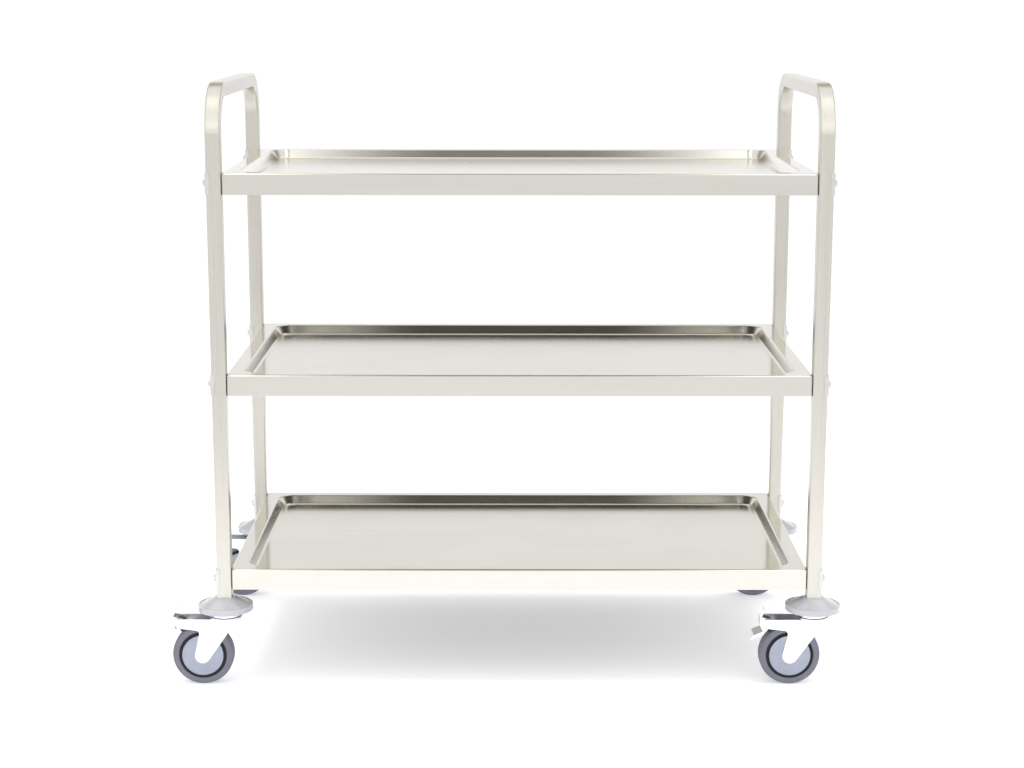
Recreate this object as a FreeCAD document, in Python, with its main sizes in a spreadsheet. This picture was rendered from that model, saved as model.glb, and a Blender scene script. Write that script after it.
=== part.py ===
import FreeCAD, Part
import math
import os
import Sketcher
from types import SimpleNamespace

# Three-tier service trolley: two bent tube end frames carry three pressed trays,
# and each upright stands on a bumper disc and a braked swivel caster.
# Frame: +X along the trolley, +Y to the back, +Z up, origin on the floor at the middle.
# All lengths are in millimetres.

Vector = FreeCAD.Vector
doc = FreeCAD.newDocument("ServiceTrolley")

TRAYS = ("bottom_tray", "middle_tray", "top_tray")
SWIVEL_BALLS = 12
# A cutting outline reaches past its piece to this share of the piece's own size.
PAST = 1.5

# ---------------------------------------------------------------- driving sizes
SIZES = {
    # end frames
    "cart_length": (950.0, "outside to outside of the end frames"),
    "cart_depth": (500.0, "front face to back face of the uprights"),
    "handle_rise": (134.0, "top of the handles above the rim of the top tray"),
    "tube_side": (22.8, "side of the square tube"),
    "tube_wall": (1.2, "wall of the square tube"),
    "tube_corner": (2.5, "outer corner radius of the square tube"),
    "bend_outer": (75.0, "outer radius of the handle bends"),
    # trays
    "foot_room": (14.0, "skirt of the bottom tray above the bumper discs"),
    "tray_pitch": (310.0, "rim of one tray to rim of the next"),
    "sheet": (1.0, "thickness of the tray sheet"),
    "skirt": (33.0, "height of the folded tray edge"),
    "setback": (0.5, "tray front behind the front of the uprights"),
    "edge_bend": (2.5, "outer radius of the folded top edge"),
    "hem": (9.0, "width of the hem turned in under the skirt"),
    "rim_side": (20.0, "flat rim along the front and the back"),
    "rim_end": (23.0, "flat rim along the two ends"),
    "dish_depth": (15.0, "depth of the dished floor under the rim"),
    "dish_slope": (8.0, "how far the dish wall leans in over its depth"),
    "dish_corner": (30.0, "corner radius of the dish at the rim"),
    "dish_floor_bend": (4.0, "radius between dish wall and floor"),
    # tray fastening
    "saddle_plate": (1.8, "thickness of the saddle plates"),
    "saddle_lip": (4.7, "reach of the saddle lips along the tube"),
    "saddle_height": (32.0, "height of the saddle plates"),
    "bolt_dia": (6.0, "shank of the tray bolts"),
    "bolt_clearance": (0.3, "radial clearance of the bolt holes"),
    "bolt_head": (12.5, "diameter of the domed bolt heads"),
    "bolt_head_height": (4.5, "height of the domed bolt heads"),
    "bolt_head_edge": (0.5, "straight edge of the bolt heads under the dome"),
    "bolt_socket": (4.0, "across flats of the key socket"),
    "bolt_socket_depth": (2.5, "depth of the key socket"),
    "bolt_tail": (2.5, "thread showing past the nut"),
    "washer_dia": (11.0, "washer inside the tray end"),
    "washer_gap": (0.4, "washer to the start of the tray's rounded corner"),
    "washer_plate": (1.5, "thickness of that washer"),
    "nut_flats": (10.0, "across flats of the tray nuts"),
    "nut_height": (5.0, "height of the tray nuts"),
    # foot of each upright
    "insert_gap": (3.5, "threaded block in the tube end below the tray bolts"),
    "stem_dia": (12.0, "threaded stem and kingpin of the caster"),
    "stem_gap": (2.0, "end of the stem below the top of that block"),
    "disc_dia": (87.0, "bumper disc"),
    "disc_wall": (9.5, "height of the bumper's outer wall"),
    "disc_height": (20.5, "height of the bumper's middle"),
    "disc_shell": (3.0, "wall of the bumper moulding"),
    "disc_lip": (3.0, "width of the raised lip"),
    "disc_lip_height": (1.0, "height of the raised lip"),
    "disc_shoulder": (1.6, "rounding of the bumper's outer edge"),
    "disc_hub": (30.0, "hub inside the bumper"),
    "disc_bore_clearance": (0.2, "radial clearance around the stem"),
    "edge_break": (0.8, "small rounding of turned and moulded edges"),
    # caster, from the floor up
    "wheel_dia": (96.0, "wheel over the tyre"),
    "tyre_width": (25.0, "width of the tyre"),
    "tyre_depth": (10.5, "radial depth of the tyre"),
    "tyre_shoulder": (5.5, "radius of the tyre shoulders"),
    "tyre_foot": (1.2, "radius where the tyre meets the rim"),
    "trail": (36.0, "axle behind the swivel axis"),
    "wheel_headroom": (11.5, "tyre top to the underside of the crown"),
    "crown_plate": (3.0, "thickness of the fork crown"),
    "crown_dia": (52.0, "diameter of the fork crown"),
    "race_gap": (3.0, "gap between crown and head"),
    "head_core": (39.0, "solid middle of the head"),
    "head_height": (7.0, "height of the head"),
    "head_dia": (48.0, "outside of the head cover"),
    "head_cover": (2.5, "thickness of the head cover"),
    "head_round": (2.2, "rounding of the head cover's top edge"),
    "cover_bend": (1.0, "inner radius of the head cover"),
    "stem_round": (1.0, "rounding of the stem's upper end"),
    "cover_gap": (1.0, "cover rim above the crown"),
    "ball_dia": (5.0, "swivel balls"),
    "ball_circle": (32.0, "circle through the ball centres"),
    "ball_clearance": (0.03, "clearance of the ball tracks"),
    "run_clearance": (0.05, "radial running clearance of pins and axles"),
    "kingpin_nut_flats": (19.0, "across flats of the kingpin nut"),
    "kingpin_nut_height": (6.0, "height of the kingpin nut"),
    "kingpin_washer": (23.0, "flange of the kingpin nut"),
    "kingpin_washer_plate": (2.0, "thickness of that flange"),
    "kingpin_play": (0.1, "axial play under the crown"),
    "kingpin_tail": (1.0, "kingpin showing under its nut"),
    # fork
    "fork_gap": (29.0, "inside width of the fork"),
    "fork_sheet": (2.5, "thickness of the fork cheeks"),
    "leg_round": (12.0, "radius of the leg end around the axle"),
    "nose_reach": (42.0, "tip of the nose beyond the axle"),
    "nose_heel": (37.4, "lower corner of the nose beyond the axle"),
    "nose_depth": (14.5, "depth of the nose at its tip"),
    "nose_round": (2.5, "radius of the nose's upper corner"),
    "nose_heel_round": (2.0, "radius of the nose's lower corner"),
    "crotch_back": (2.9, "inner corner of leg and nose beyond the axle"),
    "crotch_drop": (18.7, "the same corner under the crown"),
    "crotch_round": (6.0, "radius in that corner"),
    "knee_reach": (2.5, "knee of the leg ahead of the swivel axis"),
    "knee_drop": (25.5, "knee under the crown"),
    "heel_reach": (10.5, "second bend of the leg edge ahead of the axis"),
    "heel_drop": (7.0, "second bend under the crown"),
    "shoulder_reach": (20.0, "end of the cheeks ahead of the axis"),
    # wheel
    "axle_dia": (8.0, "axle bolt"),
    "axle_flats": (13.0, "across flats of the axle bolt head and nut"),
    "axle_head": (5.0, "height of the axle bolt head"),
    "axle_nut": (6.0, "height of the axle nut"),
    "axle_tail": (1.5, "axle thread past the nut"),
    "hub_width": (22.8, "width of the wheel hub"),
    "hub_dia": (24.0, "outside of the wheel hub"),
    "bearing_dia": (16.0, "outside of the bearing rings"),
    "bearing_width": (7.0, "width of one bearing ring"),
    "core_web": (5.0, "thickness of the wheel web"),
    "rim_width": (21.0, "width of the wheel rim"),
    "rim_depth": (5.0, "radial depth of the wheel rim"),
    "core_round": (1.5, "radii between web, hub and rim"),
    "guard_dia": (65.5, "thread guard disc"),
    "guard_sheet": (1.5, "wall of the thread guard"),
    "guard_depth": (3.5, "depth of the thread guard's edge"),
    "guard_bevel": (1.2, "bevel on the guard's edge"),
    "guard_boss": (20.0, "boss in the middle of the thread guard"),
    "guard_gap": (0.4, "guard boss to wheel hub"),
    # brake
    "pin_back": (34.5, "pedal pin beyond the axle"),
    "pin_drop": (7.5, "pedal pin under the crown"),
    "pin_dia": (5.0, "pedal pin"),
    "pin_head": (9.0, "diameter of the pin heads"),
    "pin_head_height": (1.8, "height of the pin heads"),
    "pin_head_round": (1.2, "rounding of the pin heads"),
    "pedal_sheet": (2.0, "thickness of the pedal plate"),
    "pedal_gap": (2.4, "pedal cheek to fork cheek"),
    "pedal_ear": (7.0, "radius of the pedal cheek around its pin"),
    "web_back": (13.5, "back of the pedal web from the pin"),
    "web_foot": (3.0, "foot of the pedal web under the pin"),
    "web_rise": (11.0, "bend of the web above the pin"),
    "ear_back": (7.5, "top of the release ear from the pin"),
    "ear_rise": (22.0, "top of the release ear above the pin"),
    "ear_bend": (3.0, "radius between web and release ear"),
    "pad_root_back": (9.1, "inner edge of the foot pad from the pin"),
    "pad_root_drop": (11.6, "inner edge of the foot pad under the pin"),
    "pad_tilt": (22.0, "slope of the foot pad, degrees"),
    "pad_length": (15.6, "length of the foot pad along its slope"),
    "pad_side": (4.5, "depth of the foot pad's sides"),
    "lip_tilt": (50.0, "slope of the pad's end lip, degrees"),
    "lip_length": (8.5, "length of the end lip along its slope"),
    "brake_throw": (22.0, "pedal angle from free to locked, degrees"),
    "brake_gap": (0.4, "brake shoe to tyre when locked"),
    "shoe_hub": (6.5, "radius of the shoe around the pin"),
    "shoe_tip": (3.0, "width of the shoe's tip"),
}


class Size:
    """A measure with both faces: the expression FreeCAD keeps and its present value."""

    def __init__(self, text, value):
        self.text = text
        self.value = value

    def __add__(self, other):
        return Size(f"({self.text} + {text_of(other)})", self.value + value_of(other))

    def __sub__(self, other):
        return Size(f"({self.text} - {text_of(other)})", self.value - value_of(other))

    def __mul__(self, factor):
        return Size(f"({self.text} * {text_of(factor)})", self.value * value_of(factor))

    def __truediv__(self, divisor):
        return Size(f"({self.text} / {text_of(divisor)})", self.value / value_of(divisor))

    def __neg__(self):
        return Size(f"(-1 * {self.text})", -self.value)


def value_of(measure):
    return measure.value if isinstance(measure, Size) else float(measure)


def text_of(measure):
    return measure.text if isinstance(measure, Size) else repr(float(measure))


def hypotenuse(across, along):
    value = math.hypot(across.value, along.value)
    return Size(f"sqrt({across.text} ^ 2 + {along.text} ^ 2)", value)


def cosine(degrees):
    return Size(f"cos({degrees.text} * 1 deg)", math.cos(math.radians(degrees.value)))


def sine(degrees):
    return Size(f"sin({degrees.text} * 1 deg)", math.sin(math.radians(degrees.value)))


sheet = doc.addObject("Spreadsheet::Sheet", "Sizes")
for row, (alias, (value, note)) in enumerate(SIZES.items(), start=1):
    sheet.set(f"A{row}", note)
    sheet.set(f"B{row}", str(value))
    sheet.setAlias(f"B{row}", alias)
doc.recompute()
s = SimpleNamespace(**{alias: Size(f"Sizes.{alias}", value) for alias, (value, _) in SIZES.items()})


# ---------------------------------------------------------------- drawing helpers
def bind(thing, path, measure):
    """Tie a property to a measure of the spreadsheet."""
    thing.setExpression(path, text_of(measure))


def origin_feature(body, role):
    return next(part for part in body.Origin.OriginFeatures if part.Role == role)


def sketch_on(body, name, role, offset=(0, 0, 0)):
    """A sketch on one of the body's own origin planes, moved by an offset in the plane's axes."""
    sketch = body.newObject("Sketcher::SketchObject", name)
    sketch.AttachmentSupport = (origin_feature(body, role), [""])
    sketch.MapMode = "FlatFace"
    for axis, measure in zip("xyz", offset):
        bind(sketch, f".AttachmentOffset.Base.{axis}", measure)
    return sketch


def fix_point(sketch, geometry, end, across, up):
    """Hold one point of the sketch at its distances from the sketch's origin."""
    for kind, axis, measure in (("DistanceX", -2, across), ("DistanceY", -1, up)):
        if not isinstance(measure, Size) and measure == 0:
            sketch.addConstraint(Sketcher.Constraint("PointOnObject", geometry, end, axis))
            continue
        value = value_of(measure)
        index = sketch.addConstraint(Sketcher.Constraint(kind, -1, 1, geometry, end, value))
        bind(sketch, f"Constraints[{index}]", measure)


def sketch_line(sketch, start, finish):
    """A straight line held at both ends."""
    ends = [Vector(value_of(across), value_of(up), 0) for across, up in (start, finish)]
    line = sketch.addGeometry(Part.LineSegment(*ends))
    fix_point(sketch, line, 1, *start)
    fix_point(sketch, line, 2, *finish)
    return line


def end_near(sketch, geometry, point):
    """Which end of an arc lies at a point: 1 for its start, 2 for its end."""
    return 1 if (sketch.getPoint(geometry, 1) - point).Length < 1e-6 else 2


class Around:
    """An outline's corner that runs around a centre, tangent to both neighbouring sides."""

    def __init__(self, across, up, radius):
        self.across = across
        self.up = up
        self.radius = radius


def corner_point(corner):
    if isinstance(corner, Around):
        return Vector(value_of(corner.across), value_of(corner.up), 0)
    return Vector(value_of(corner[0]), value_of(corner[1]), 0)


def tangent_point(outside, centre, radius, side):
    """Where a line from an outside point touches a circle, on the chosen side."""
    reach = outside - centre
    swing = math.acos(radius / reach.Length) * side
    angle = math.atan2(reach.y, reach.x) + swing
    return centre + Vector(math.cos(angle), math.sin(angle), 0) * radius


def outline(sketch, corners):
    """Draw a closed loop of straight sides, its corners sharp, rounded or Around a centre."""
    count = len(corners)
    points = [corner_point(corner) for corner in corners]
    turn = sum(points[i - 1].x * points[i].y - points[i].x * points[i - 1].y for i in range(count))
    side = 1 if turn > 0 else -1
    entry = list(points)
    leave = list(points)
    middle = [None] * count
    for i, corner in enumerate(corners):
        if isinstance(corner, Around):
            radius = value_of(corner.radius)
            entry[i] = tangent_point(points[i - 1], points[i], radius, side)
            leave[i] = tangent_point(points[(i + 1) % count], points[i], radius, -side)
            away = points[i] * 2 - points[i - 1] - points[(i + 1) % count]
            middle[i] = points[i] + away.normalize() * radius
    for i, corner in enumerate(corners):
        if isinstance(corner, Around) or len(corner) < 3:
            continue
        following = (i + 1) % count
        last_end = leave[i - 1] if isinstance(corners[i - 1], Around) else points[i - 1]
        next_end = entry[following] if isinstance(corners[following], Around) else points[following]
        before = (last_end - points[i]).normalize()
        after = (next_end - points[i]).normalize()
        half = before.getAngle(after) / 2
        radius = value_of(corner[2])
        entry[i] = points[i] + before * (radius / math.tan(half))
        leave[i] = points[i] + after * (radius / math.tan(half))
        inward = (before + after).normalize()
        middle[i] = points[i] + inward * (radius / math.sin(half) - radius)
    sides = [sketch.addGeometry(Part.LineSegment(leave[i], entry[(i + 1) % count])) for i in range(count)]
    for i, corner in enumerate(corners):
        incoming = sides[i - 1]
        outgoing = sides[i]
        if middle[i] is None:
            sketch.addConstraint(Sketcher.Constraint("Coincident", incoming, 2, outgoing, 1))
            fix_point(sketch, outgoing, 1, corner[0], corner[1])
            continue
        arc = sketch.addGeometry(Part.Arc(entry[i], middle[i], leave[i]))
        arc_in = end_near(sketch, arc, entry[i])
        sketch.addConstraint(Sketcher.Constraint("Tangent", incoming, 2, arc, arc_in))
        sketch.addConstraint(Sketcher.Constraint("Tangent", outgoing, 1, arc, 3 - arc_in))
        around = isinstance(corner, Around)
        radius = corner.radius if around else corner[2]
        index = sketch.addConstraint(Sketcher.Constraint("Radius", arc, value_of(radius)))
        bind(sketch, f"Constraints[{index}]", radius)
        if around:
            fix_point(sketch, arc, 3, corner.across, corner.up)
            continue
        vertex = sketch.addGeometry(Part.Point(points[i]), True)
        fix_point(sketch, vertex, 1, corner[0], corner[1])
        sketch.addConstraint(Sketcher.Constraint("PointOnObject", vertex, 1, incoming))
        sketch.addConstraint(Sketcher.Constraint("PointOnObject", vertex, 1, outgoing))


def box_corners(half_across, half_up, radius, centre=(0, 0)):
    """The four rounded corners of a rectangle about a centre."""
    signs = ((-1, -1), (1, -1), (1, 1), (-1, 1))
    return [(half_across * i + centre[0], half_up * j + centre[1], radius) for i, j in signs]


def hexagon(flats, across=0, up=0):
    """The corners of a hexagon standing on a flat."""
    corner = flats / math.sqrt(3)
    return [
        (corner + across, up),
        (corner / 2 + across, flats / 2 + up),
        (corner / -2 + across, flats / 2 + up),
        (-corner + across, up),
        (corner / -2 + across, flats / -2 + up),
        (corner / 2 + across, flats / -2 + up),
    ]


def down_slope(start, tilt, out, under):
    """A point of a plate that slopes down and outward: how far out along it, and how far under it."""
    across = start[0] - cosine(tilt) * out + sine(tilt) * under
    up = start[1] - sine(tilt) * out - cosine(tilt) * under
    return (across, up)


def circle(sketch, across, up, diameter):
    centre = Vector(value_of(across), value_of(up), 0)
    ring = sketch.addGeometry(Part.Circle(centre, Vector(0, 0, 1), value_of(diameter) / 2))
    fix_point(sketch, ring, 3, across, up)
    index = sketch.addConstraint(Sketcher.Constraint("Diameter", ring, value_of(diameter)))
    bind(sketch, f"Constraints[{index}]", diameter)


# ---------------------------------------------------------------- feature helpers
nodes = []
cuts = []


def new_body(label, place=(0, 0, 0), keep=True):
    """A body of its own, placed in the trolley's frame."""
    body = doc.addObject("PartDesign::Body", label)
    body.Label = label
    for axis, measure in zip("xyz", place):
        bind(body, f"Placement.Base.{axis}", measure)
    if keep:
        nodes.append(body)
    return body


def pad(body, name, sketch, length, both_ways=False):
    feature = body.newObject("PartDesign::Pad", name)
    feature.Profile = sketch
    feature.Midplane = both_ways
    bind(feature, "Length", length)
    doc.recompute()
    return feature


def cut_with(body, name, kind, sketch):
    """Start a feature that has to take something away from the body so far."""
    before = body.Shape.Volume
    feature = body.newObject(kind, name)
    feature.Profile = sketch
    cuts.append((feature, before))
    return feature


def pocket(body, name, sketch, length=None, both_ways=False):
    """Cut a sketch's outline: to a length, or right through when no length is given."""
    feature = cut_with(body, name, "PartDesign::Pocket", sketch)
    feature.Midplane = both_ways
    if length is None:
        feature.Type = "ThroughAll"
    else:
        bind(feature, "Length", length)
    doc.recompute()
    return feature


def revolve(body, name, sketch, axis):
    feature = body.newObject("PartDesign::Revolution", name)
    feature.Profile = sketch
    feature.ReferenceAxis = (sketch, [axis])
    feature.Angle = 360
    doc.recompute()
    return feature


def groove(body, name, sketch, axis):
    feature = cut_with(body, name, "PartDesign::Groove", sketch)
    feature.ReferenceAxis = (sketch, [axis])
    feature.Angle = 360
    doc.recompute()
    return feature


def loft(body, name, kind, lower, upper):
    feature = body.newObject(kind, name)
    feature.Profile = lower
    feature.Sections = [upper]
    doc.recompute()
    return feature


def mirrored(body, name, role):
    step = body.newObject("PartDesign::Mirrored", name)
    step.MirrorPlane = (origin_feature(body, role), [""])
    return step


def repeat(body, originals, steps):
    """Repeat features by a chain of patterns and make the result the body's tip."""
    feature = body.newObject("PartDesign::MultiTransform", "repeat")
    feature.Originals = originals
    feature.Transformations = steps
    body.Tip = feature
    doc.recompute()


def both_mirrors(body):
    """Front to back, then end to end."""
    return [mirrored(body, "front_to_back", "XZ_Plane"), mirrored(body, "end_to_end", "YZ_Plane")]


def repeat_over_corners(body, originals):
    """From the front right corner to all four."""
    repeat(body, originals, both_mirrors(body))


def repeat_over_joints(body, originals):
    """From the lowest front right tray joint to all twelve."""
    tiers = body.newObject("PartDesign::LinearPattern", "tiers")
    tiers.Direction = (origin_feature(body, "Z_Axis"), [""])
    tiers.Occurrences = len(TRAYS)
    bind(tiers, "Length", s.tray_pitch * (len(TRAYS) - 1))
    repeat(body, originals, [tiers] + both_mirrors(body))


def fillet_edges(body, name, radius, wanted):
    """Round the edges of the body so far that a test picks out."""
    tip = body.Tip
    picked = [f"Edge{i}" for i, edge in enumerate(tip.Shape.Edges, start=1) if wanted(edge)]
    feature = body.newObject("PartDesign::Fillet", name)
    feature.Base = (tip, picked)
    bind(feature, "Radius", radius)
    doc.recompute()
    return feature


def at_height(height):
    """A test for edges that lie flat at one height."""
    level = value_of(height)

    def test(edge):
        box = edge.BoundBox
        return abs(box.ZMin - level) < 1e-4 and abs(box.ZMax - level) < 1e-4

    return test


# ---------------------------------------------------------------- places worked out from the sizes
corner_x = s.cart_length / 2 - s.tube_side / 2
corner_y = s.cart_depth / 2 - s.tube_side / 2
half_bay = s.cart_length / 2 - s.tube_side
tray_half_depth = s.cart_depth / 2 - s.setback
tray_corner = (s.tube_side - s.washer_dia) / 2 - s.setback - s.washer_gap

crown_under = s.wheel_dia + s.wheel_headroom
crown_top = crown_under + s.crown_plate
head_under = crown_top + s.race_gap
head_top = head_under + s.head_height
tube_end = head_top + s.disc_height
kingpin_flange_foot = crown_under - s.kingpin_play - s.kingpin_washer_plate
kingpin_nut_foot = kingpin_flange_foot - s.kingpin_nut_height

lowest_tray = tube_end + s.foot_room + s.skirt
bolt_height = lowest_tray - s.skirt / 2
cart_height = lowest_tray + s.tray_pitch * (len(TRAYS) - 1) + s.handle_rise
insert_top = bolt_height - s.bolt_dia / 2 - s.insert_gap
stem_end = insert_top - s.stem_gap

axle_height = s.wheel_dia / 2
fork_width = s.fork_gap + s.fork_sheet * 2
pin_rise = crown_under - s.pin_drop - axle_height
pedal_width = s.fork_gap - s.pedal_gap * 2
pedal_inside = pedal_width - s.pedal_sheet * 2


# ---------------------------------------------------------------- end frames
def end_frame(label, side):
    """One square tube bent into a handle and two uprights."""
    body = new_body(label, (corner_x * side, 0, 0))
    path = sketch_on(body, "path", "YZ_Plane")
    bend_start = cart_height - s.bend_outer
    bar_height = cart_height - s.tube_side / 2
    bar_end = s.cart_depth / 2 - s.bend_outer
    runs = (
        ((-corner_y, tube_end), (-corner_y, bend_start)),
        ((-bar_end, bar_height), (bar_end, bar_height)),
        ((corner_y, bend_start), (corner_y, tube_end)),
    )
    lines = [sketch_line(path, start, finish) for start, finish in runs]
    half_turn = math.sqrt(0.5)
    for before, after, across in ((lines[0], lines[1], -1), (lines[1], lines[2], 1)):
        start = path.getPoint(before, 2)
        finish = path.getPoint(after, 1)
        radius = value_of(s.bend_outer - s.tube_side / 2)
        centre = Vector(value_of(bar_end) * across, value_of(bend_start), 0)
        middle = centre + Vector(across * half_turn, half_turn, 0) * radius
        arc = path.addGeometry(Part.Arc(start, middle, finish))
        arc_in = end_near(path, arc, start)
        path.addConstraint(Sketcher.Constraint("Tangent", before, 2, arc, arc_in))
        path.addConstraint(Sketcher.Constraint("Coincident", after, 1, arc, 3 - arc_in))
    section = sketch_on(body, "section", "XY_Plane", (0, -corner_y, tube_end))
    half = s.tube_side / 2
    outline(section, box_corners(half, half, s.tube_corner))
    outline(section, box_corners(half - s.tube_wall, half - s.tube_wall, s.tube_corner - s.tube_wall))
    doc.recompute()
    tube = body.newObject("PartDesign::AdditivePipe", "tube")
    tube.Profile = section
    tube.Spine = (path, [f"Edge{i + 1}" for i in range(5)])
    doc.recompute()
    holes = sketch_on(body, "bolt_holes", "YZ_Plane")
    for across in (corner_y, -corner_y):
        for tier in range(len(TRAYS)):
            circle(holes, across, bolt_height + s.tray_pitch * tier, s.bolt_dia + s.bolt_clearance * 2)
    pocket(body, "drilling", holes, both_ways=True)


end_frame("left_end_frame", -1)
end_frame("right_end_frame", 1)


# ---------------------------------------------------------------- trays
def tray(label, tier):
    """A pressed sheet tray: flat rim, dished floor, folded skirt with a hem."""
    body = new_body(label, (0, 0, lowest_tray + s.tray_pitch * tier))
    skirt_foot = -s.skirt

    outside = sketch_on(body, "outside", "XY_Plane", (0, 0, skirt_foot))
    outline(outside, box_corners(half_bay, tray_half_depth, tray_corner))
    pad(body, "blank", outside, s.skirt)

    hollow = sketch_on(body, "hollow", "XY_Plane", (0, 0, -s.sheet))
    outline(hollow, box_corners(half_bay - s.sheet, tray_half_depth - s.sheet, tray_corner - s.sheet))
    pocket(body, "skirt_fold", hollow, s.skirt - s.sheet * 2)

    mouth = sketch_on(body, "mouth", "XY_Plane", (0, 0, skirt_foot + s.sheet))
    outline(mouth, box_corners(half_bay - s.hem, tray_half_depth - s.hem, s.sheet * 2))
    pocket(body, "hem_opening", mouth)

    half_x = half_bay - s.rim_end
    half_y = tray_half_depth - s.rim_side
    floor_x = half_x - s.dish_slope
    floor_y = half_y - s.dish_slope
    floor_corner = s.dish_corner - s.dish_slope
    under_rim = sketch_on(body, "under_rim", "XY_Plane")
    outline(under_rim, box_corners(half_x + s.sheet, half_y + s.sheet, s.dish_corner + s.sheet))
    under_floor = sketch_on(body, "under_floor", "XY_Plane", (0, 0, -s.dish_depth - s.sheet))
    outline(under_floor, box_corners(floor_x + s.sheet, floor_y + s.sheet, floor_corner + s.sheet))
    loft(body, "dish_outside", "PartDesign::AdditiveLoft", under_rim, under_floor)

    rim = sketch_on(body, "rim", "XY_Plane")
    outline(rim, box_corners(half_x, half_y, s.dish_corner))
    floor = sketch_on(body, "floor", "XY_Plane", (0, 0, -s.dish_depth))
    outline(floor, box_corners(floor_x, floor_y, floor_corner))
    before = body.Shape.Volume
    dish = loft(body, "dish_inside", "PartDesign::SubtractiveLoft", rim, floor)
    cuts.append((dish, before))

    fillet_edges(body, "top_bends", s.edge_bend, at_height(0))
    fillet_edges(body, "floor_bends", s.dish_floor_bend, at_height(-s.dish_depth))
    fillet_edges(body, "under_floor_bends", s.dish_floor_bend + s.sheet, at_height(-s.dish_depth - s.sheet))

    holes = sketch_on(body, "bolt_holes", "YZ_Plane")
    for across in (corner_y, -corner_y):
        circle(holes, across, -s.skirt / 2, s.bolt_dia + s.bolt_clearance * 2)
    pocket(body, "drilling", holes, both_ways=True)


for tier, label in enumerate(TRAYS):
    tray(label, tier)


# ---------------------------------------------------------------- tray fastening
def saddle_plates():
    """U-shaped plates that grip the outside of each upright under the bolt heads."""
    body = new_body("saddle_plates")
    foot = bolt_height - s.saddle_height / 2
    outer = s.cart_length / 2
    front = -(s.cart_depth / 2)
    back = front + s.tube_side
    bend = s.tube_corner + s.saddle_plate
    section = sketch_on(body, "section", "XY_Plane", (0, 0, foot))
    outline(section, [
        (outer - s.saddle_lip, front - s.saddle_plate),
        (outer + s.saddle_plate, front - s.saddle_plate, bend),
        (outer + s.saddle_plate, back + s.saddle_plate, bend),
        (outer - s.saddle_lip, back + s.saddle_plate),
        (outer - s.saddle_lip, back),
        (outer, back, s.tube_corner),
        (outer, front, s.tube_corner),
        (outer - s.saddle_lip, front),
    ])
    plate = pad(body, "plate", section, s.saddle_height)
    hole = sketch_on(body, "bolt_hole", "YZ_Plane")
    circle(hole, -corner_y, bolt_height, s.bolt_dia + s.bolt_clearance * 2)
    drilling = pocket(body, "drilling", hole, both_ways=True)
    repeat_over_joints(body, [plate, drilling])


def tray_bolts():
    """Domed bolts through saddle, upright and tray end."""
    body = new_body("tray_bolts")
    seat = s.cart_length / 2 + s.saddle_plate
    grip = s.saddle_plate + s.tube_side + s.sheet + s.washer_plate + s.nut_height + s.bolt_tail
    dome = s.bolt_head_height - s.bolt_head_edge
    profile = sketch_on(body, "profile", "XZ_Plane", (seat, bolt_height, corner_y))
    outline(profile, [
        (-grip, 0),
        (s.bolt_head_height, 0),
        (s.bolt_head_height, s.bolt_head / 2, dome),
        (0, s.bolt_head / 2),
        (0, s.bolt_dia / 2),
        (-grip, s.bolt_dia / 2),
    ])
    turned = revolve(body, "turned", profile, "H_Axis")
    key = sketch_on(body, "key", "YZ_Plane", (0, 0, seat + s.bolt_head_height))
    outline(key, hexagon(s.bolt_socket, -corner_y, bolt_height))
    socket = pocket(body, "socket", key, s.bolt_socket_depth)
    repeat_over_joints(body, [turned, socket])


def tray_washers():
    """Washers against the inside of the tray ends."""
    body = new_body("tray_washers")
    face = half_bay - s.sheet - s.washer_plate
    ring = sketch_on(body, "ring", "YZ_Plane", (0, 0, face))
    circle(ring, -corner_y, bolt_height, s.washer_dia)
    circle(ring, -corner_y, bolt_height, s.bolt_dia + s.bolt_clearance * 2)
    washer = pad(body, "washer", ring, s.washer_plate)
    repeat_over_joints(body, [washer])


def tray_nuts():
    """Hexagon nuts that clamp each tray joint."""
    body = new_body("tray_nuts")
    face = half_bay - s.sheet - s.washer_plate - s.nut_height
    section = sketch_on(body, "section", "YZ_Plane", (0, 0, face))
    outline(section, hexagon(s.nut_flats, -corner_y, bolt_height))
    circle(section, -corner_y, bolt_height, s.bolt_dia)
    nut = pad(body, "nut", section, s.nut_height)
    repeat_over_joints(body, [nut])


saddle_plates()
tray_bolts()
tray_washers()
tray_nuts()


# ---------------------------------------------------------------- feet of the uprights
def stem_inserts():
    """Threaded blocks in the tube ends that take the caster stems."""
    body = new_body("stem_inserts")
    half = s.tube_side / 2 - s.tube_wall
    section = sketch_on(body, "section", "XY_Plane", (0, 0, tube_end))
    outline(section, box_corners(half, half, s.tube_corner - s.tube_wall, (corner_x, -corner_y)))
    circle(section, corner_x, -corner_y, s.stem_dia)
    block = pad(body, "block", section, insert_top - tube_end)
    repeat_over_corners(body, [block])


def kingpin_nuts():
    """Flanged nuts that hold the forks on their kingpins."""
    body = new_body("kingpin_nuts")
    ring = sketch_on(body, "ring", "XY_Plane", (0, 0, kingpin_flange_foot))
    circle(ring, corner_x, -corner_y, s.kingpin_washer)
    circle(ring, corner_x, -corner_y, s.stem_dia)
    flange = pad(body, "flange", ring, s.kingpin_washer_plate)
    section = sketch_on(body, "section", "XY_Plane", (0, 0, kingpin_nut_foot))
    outline(section, hexagon(s.kingpin_nut_flats, corner_x, -corner_y))
    circle(section, corner_x, -corner_y, s.stem_dia)
    nut = pad(body, "nut", section, s.kingpin_nut_height)
    repeat_over_corners(body, [flange, nut])


stem_inserts()
kingpin_nuts()


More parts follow.
